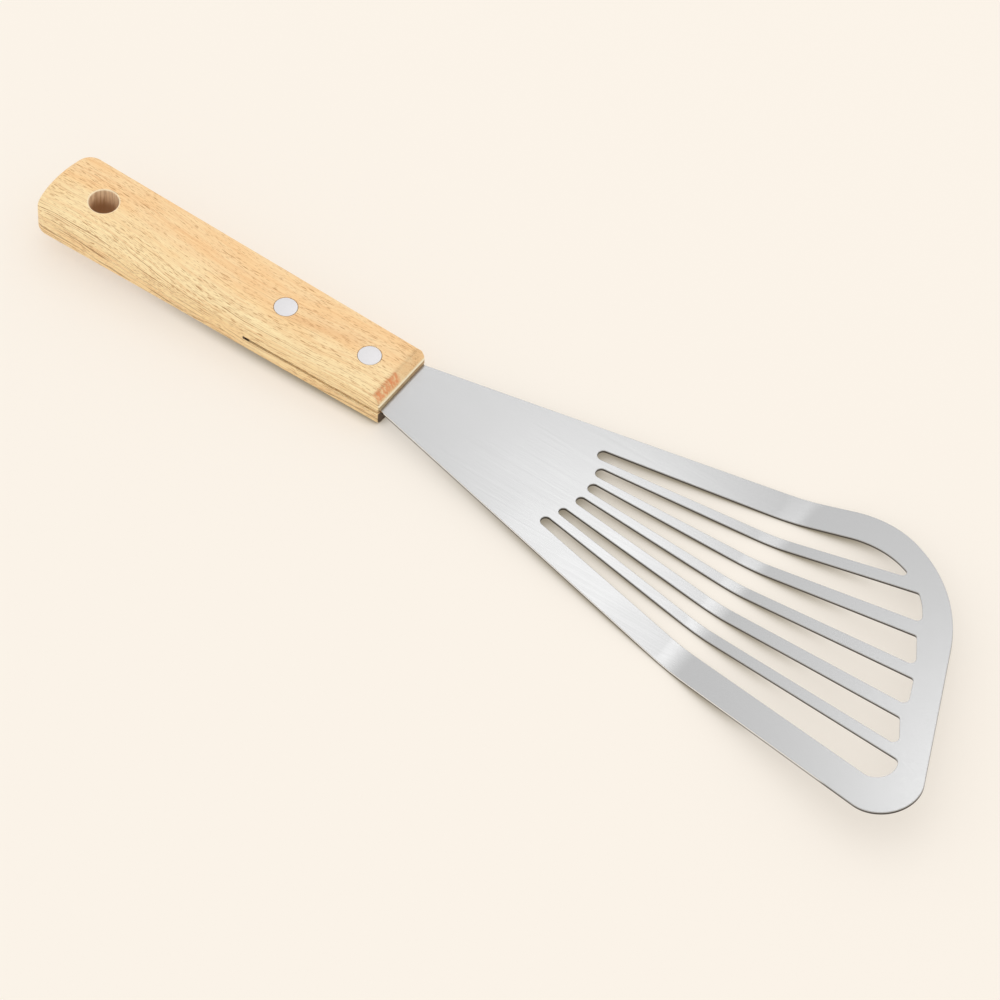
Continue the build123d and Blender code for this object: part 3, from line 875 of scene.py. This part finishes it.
handle_loop = divided(oriented(around, True), lambda x: LONG_STEP)
handle = plate(
    "wooden_handle", [handle_loop], HANDLE_HALF, EDGE_ROUND, ROUND_STEPS,
    HANDLE_COLUMNS, HANDLE_ROW_GAP, crowned)

# %% [markdown]
# What a saw and a drill do to the blank, Boolean cuts do here. The cutters are of two kinds: pieces turned
# on a lathe stand for the drills, and blocks right across the handle for the saws and the sander. The
# helpers come first.

# %% Cutters
CUT_OVER = 2.0  # how far a cutter stands out of the wood
SIDES = 72  # of what is turned


def mesh_piece(name, points, faces):
    """An object from points of the tool and faces, with its faces turned outwards."""
    mesh = bpy.data.meshes.new(name)
    mesh.from_pydata([on_table(p) for p in points], [], faces)
    soft = bmesh.new()
    soft.from_mesh(mesh)
    bmesh.ops.remove_doubles(soft, verts=soft.verts, dist=SAME_PLACE * MM)
    bmesh.ops.recalc_face_normals(soft, faces=soft.faces)
    soft.to_mesh(mesh)
    soft.free()
    made = bpy.data.objects.new(name, mesh)
    scene.collection.objects.link(made)
    return made


def turned_piece(name, x, profile):
    """A piece turned on a lathe, its axis at x. The profile is a list of (radius, z)."""
    points, faces = [], []
    for radius, z in profile:
        for n in range(SIDES):
            angle = 2 * math.pi * n / SIDES
            points.append((x + radius * math.cos(angle), radius * math.sin(angle), z))
    last = (len(profile) - 1) * SIDES
    for a in range(0, last, SIDES):
        for n in range(SIDES):
            m = (n + 1) % SIDES
            faces.append((a + n, a + m, a + m + SIDES, a + n + SIDES))
    faces += [tuple(range(SIDES)), tuple(range(last, last + SIDES))]
    return mesh_piece(name, points, faces)


def bored(name, cutter):
    """Cuts the cutter out of the handle and removes it."""
    cut = handle.modifiers.new(name, "BOOLEAN")
    cut.operation, cut.solver, cut.object = "DIFFERENCE", "EXACT", cutter
    bpy.context.view_layer.objects.active = handle
    bpy.ops.object.modifier_apply(modifier=cut.name)
    bpy.data.objects.remove(cutter)


def prism(name, profile):
    """A block right across the handle, with this (x, z) profile."""
    count = len(profile)
    points = [(x, side * (BUTT_HALF + CUT_OVER), z) for side in (1, -1) for x, z in profile]
    faces = [tuple(range(count)), tuple(range(count, 2 * count))]
    faces += [(n, (n + 1) % count, (n + 1) % count + count, n + count) for n in range(count)]
    return mesh_piece(name, points, faces)


print("cutters of", SIDES, "sides are ready")

# %% [markdown]
# The order matters. The hanging hole and the stepped seats of the rivets are bored first, while the blank
# is one clean closed skin. The hole gets soft rims, a quarter circle that the drill's own profile carries.
# Each seat is a shade wider than the head that goes in it, which gives the fine dark line round the rivets.

# %% Hole and rivet seats
HOLE_RADIUS, HOLE_RIM, RIM_STEPS = 4.4, 0.5, 6
HEAD_RADIUS, HEAD_THICKNESS = 3.44, 1.5
SEAT_GAP = 0.06  # round a head
GROOVE, GROOVE_DEPTH = 0.15, 0.35  # the gap at the top, and how far down it reaches


def quarter(radius, z, size, steps):
    """Points of a lathe's profile on a quarter circle, from the flank at this radius up to the top at z. It
    flares out, or draws in where the size is negative."""
    angles = [math.radians(90 * n / steps) for n in range(steps + 1)]
    return [(radius + size * (1 - math.cos(a)), z - abs(size) * (1 - math.sin(a))) for a in angles]


def mirrored(profile):
    """The profile with its mirror image below, so that a drill goes right through."""
    return [(radius, -z) for radius, z in profile[::-1]] + profile


drill = quarter(HOLE_RADIUS, HANDLE_HALF, HOLE_RIM, RIM_STEPS)
drill.append((HOLE_RADIUS + HOLE_RIM, HANDLE_HALF + CUT_OVER))
bored("hanging_hole", turned_piece("drill", -HOLE_REACH, mirrored(drill)))
seat_z = HANDLE_HALF - HEAD_THICKNESS
seat_radius, groove_radius = HEAD_RADIUS + SEAT_GAP, HEAD_RADIUS + GROOVE
seat = [
    (SHANK_HOLE, seat_z), (seat_radius, seat_z), (seat_radius, HANDLE_HALF - GROOVE_DEPTH),
    (groove_radius, HANDLE_HALF - GROOVE_DEPTH / 2), (groove_radius, HANDLE_HALF + CUT_OVER),
]
for name, x in RIVETS.items():
    bored(name + "_seat", turned_piece("stepped_drill", x, mirrored(seat)))
print("handle has", len(handle.data.polygons), "faces after the drills")

# %% [markdown]
# Then the front is sawn square, its rim is eased, and its top edge gets the wide sanded bevel. The kerf
# runs in from the front and ends round where the saw stopped, a millimetre past the tang. The faces that
# the saw made are found by their place, because only they lie at x = 0, and the rim is the edges that have
# just one of them at their side.

# %% Front and kerf
FRONT_EASE, EASE_STEPS = 0.6, 3
FRONT_NEAR = 0.01  # a face within this of x = 0 is part of the front
BEVEL_RUN, BEVEL_DROP = 1.9, 3.7
KERF_HALF = 0.54
KERF_END = -45.7

tall, ahead = HANDLE_HALF + CUT_OVER, FRONT_EXTRA + CUT_OVER
bored("front", prism("front_saw", [(0, tall), (ahead, tall), (ahead, -tall), (0, -tall)]))
soft = bmesh.new()
soft.from_mesh(handle.data)
reaches = {face: (face.calc_center_median() - tool_origin).dot(tool_along) for face in soft.faces}
in_front = {face for face, reach in reaches.items() if abs(reach) < FRONT_NEAR * MM}
rim = [edge for edge in soft.edges if sum(face in in_front for face in edge.link_faces) == 1]
bmesh.ops.bevel(soft, geom=rim, offset=FRONT_EASE * MM, segments=EASE_STEPS, profile=0.5, affect="EDGES")
soft.to_mesh(handle.data)
soft.free()
slope = Vector((BEVEL_RUN, -BEVEL_DROP)).normalized() * CUT_OVER
bevel_start = Vector((-BEVEL_RUN, HANDLE_HALF)) - slope
bevel_end = Vector((0, HANDLE_HALF - BEVEL_DROP)) + slope
bored("bevel", prism("sander", [tuple(bevel_start), tuple(bevel_end), (bevel_end.x, bevel_start.y)]))
end_arc = arc((KERF_END, 0), KERF_HALF, 90, 270)
bored("kerf", prism("saw", [(CUT_OVER, KERF_HALF)] + end_arc + [(CUT_OVER, -KERF_HALF)]))
print("handle has", len(handle.data.polygons), "faces after the saws")

# %% [markdown]
# Cuts leave long thin faces beside wide flat ones, and plain smooth shading would smear dark streaks over
# them. So edges sharper than a limit stay crisp, and the normals of the rest lean towards the wide faces.

# %% Handle shading
SHARP = 35  # degrees

handle.data.shade_smooth()
handle.data.set_sharp_from_angle(angle=math.radians(SHARP))
weigh = handle.modifiers.new("weigh", "WEIGHTED_NORMAL")
weigh.keep_sharp = True
bpy.context.view_layer.objects.active = handle
bpy.ops.object.modifier_apply(modifier=weigh.name)
handle.data.materials.append(wood.material)
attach(handle, "root")
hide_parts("handle")

# %% [markdown]
# Each rivet is two turned pieces. A pin with a flat head goes in from above and is pressed into a socket
# with a flat head from below. Only the heads show, but both are turned whole, with slightly eased rims.

# %% Rivets
HEAD_EASE, HEAD_EASE_STEPS = 0.15, 3
SOCKET_RADIUS, PIN_RADIUS, BORE_RADIUS = 2.0, 1.3, 1.33
PIN_POINT = 0.4
SOCKET_GAP, PIN_END_GAP = 0.5, 0.8

head = quarter(HEAD_RADIUS, HANDLE_HALF, -HEAD_EASE, HEAD_EASE_STEPS)
pin_end = -seat_z + PIN_END_GAP
pin_profile = [
    (PIN_RADIUS - PIN_POINT, pin_end), (PIN_RADIUS, pin_end + PIN_POINT), (PIN_RADIUS, seat_z),
    (HEAD_RADIUS, seat_z),
] + head
socket_profile = [
    (BORE_RADIUS, -seat_z), (BORE_RADIUS, seat_z - SOCKET_GAP), (SOCKET_RADIUS, seat_z - SOCKET_GAP),
    (SOCKET_RADIUS, -seat_z), (HEAD_RADIUS, -seat_z),
] + [(radius, -z) for radius, z in head]
for name, x in RIVETS.items():
    for part, profile in (("pin", pin_profile), ("socket", socket_profile)):
        piece = turned_piece(f"{name}_rivet_{part}", x, profile)
        piece.data.shade_smooth()
        piece.data.set_sharp_from_angle(angle=math.radians(SHARP))
        piece.data.materials.append(rivet_metal.material)
        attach(piece, "root")
        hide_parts(f"rivet_{name}_{part}")
print("turned", 2 * len(RIVETS), "rivet pieces")

# %% [markdown]
# The spatula lies on a plain cream table, a matt surface that takes the soft shadow. Two things are added
# to it. Close to the object, where hardly any light gets in, a real table shows a thin brown line of
# shadow, and an ambient occlusion node darkens the colour there. And in bright studio pictures the wide
# shadows are very pale, so a part of the table's own colour shines by itself where the camera or a mirror
# looks at it, which lifts them.

# %% Table
TABLE_CREAM = colour(251, 243, 232)
TABLE_DARK = colour(160, 148, 122)
CLOSE_SHADOW = 0.005  # metres from the object within which the table darkens
DARK_AT, PLAIN_AT = 0.1, 0.85  # how open to the light the table is where it is darkest, and where it is plain
SHADOW_LIFT = 0.5  # how far the soft shadows are lifted towards the table's own colour
TABLE_HALF = 3.0

table_mesh = bpy.data.meshes.new("table")
table_corners = [(x * TABLE_HALF, y * TABLE_HALF, 0) for x, y in ((-1, -1), (1, -1), (1, 1), (-1, 1))]
table_mesh.from_pydata(table_corners, [], [(0, 1, 2, 3)])
table = bpy.data.objects.new("table", table_mesh)
scene.collection.objects.link(table)
matt = Finish("matt_table")
openness = matt.node("AmbientOcclusion", out=1, settings={"samples": 12}, Distance=CLOSE_SHADOW)
cream = matt.mix(matt.step(openness, DARK_AT, PLAIN_AT), TABLE_DARK, TABLE_CREAM)
matt.set("Base Color", cream)
matt.set("Roughness", 0.9)
matt.set("Specular IOR Level", 0.1)
glow = matt.node("Emission", Color=cream)
path_kinds = matt.tree.nodes.new("ShaderNodeLightPath").outputs
seen = matt.sum("MAXIMUM", path_kinds["Is Camera Ray"], path_kinds["Is Glossy Ray"])
seen = matt.sum("MAXIMUM", seen, path_kinds["Is Transmission Ray"])
both = matt.node("MixShader", i0=matt.times(seen, SHADOW_LIFT), i1=matt.shader.outputs[0], i2=glow)
matt.give(matt.tree.nodes["Material Output"].inputs["Surface"], both)
table_mesh.materials.append(matt.material)
print("the table is", 2 * TABLE_HALF, "metres wide")

# %% [markdown]
# Satin steel looks like what it mirrors. In the photograph the neck brightens towards the bend and is
# brightest on the near side, and the tip darkens just past the bend and brightens again towards its end. An
# even pale room with two small round lamps does all of this, because a lamp that is near fades across the
# sheet: one stands where the neck mirrors it, and one farther off where the end of the tip does. The wood
# hardly feels them.

# %% Light
ROOM_TOWARDS = Vector((-0.45, 0.30, 0.84)).normalized()
ROOM_DIM, ROOM_BRIGHT = 0.97, 1.0
DIM_FROM, BRIGHT_FROM = -0.2, 0.9  # how far a direction points towards the bright side, where each is reached
LAMPS = (  # place and radius in metres, the x of the table that it points at, and how bright its face is
    ("neck_lamp", (-0.109, 0.311, 0.513), 0.053, 0.150, 1.85),
    ("tip_lamp", (-0.387, 0.615, 0.819), 0.030, 0.250, 4.18),
)

world = bpy.data.worlds.new("room")
scene.world = world
world.use_nodes = True
tree = world.node_tree
sky = tree.nodes["Background"]
direction = tree.nodes.new("ShaderNodeTexCoord")
towards = tree.nodes.new("ShaderNodeVectorMath")
towards.operation = "DOT_PRODUCT"
towards.inputs[1].default_value = ROOM_TOWARDS
ramp = tree.nodes.new("ShaderNodeMapRange")
ramp.interpolation_type = "SMOOTHSTEP"
for n, value in enumerate((DIM_FROM, BRIGHT_FROM, ROOM_DIM, ROOM_BRIGHT)):
    ramp.inputs[n + 1].default_value = value
tree.links.new(direction.outputs["Generated"], towards.inputs[0])
tree.links.new(towards.outputs["Value"], ramp.inputs[0])
tree.links.new(ramp.outputs[0], sky.inputs["Strength"])
sky.inputs["Color"].default_value = (1, 1, 1, 1)

for name, spot, radius, aim, brightness in LAMPS:
    lamp = bpy.data.objects.new(name, bpy.data.lights.new(name, "AREA"))
    scene.collection.objects.link(lamp)
    lamp.data.shape = "DISK"
    lamp.data.size = 2 * radius
    lamp.data.energy = brightness * math.pi * math.pi * radius**2
    lamp.location = spot
    lamp.rotation_euler = (Vector((aim, 0, 0)) - Vector(spot)).to_track_quat("-Z", "Y").to_euler()
    print(name, "gives", round(lamp.data.energy, 4), "watts")
scene.view_settings.view_transform = "Standard"
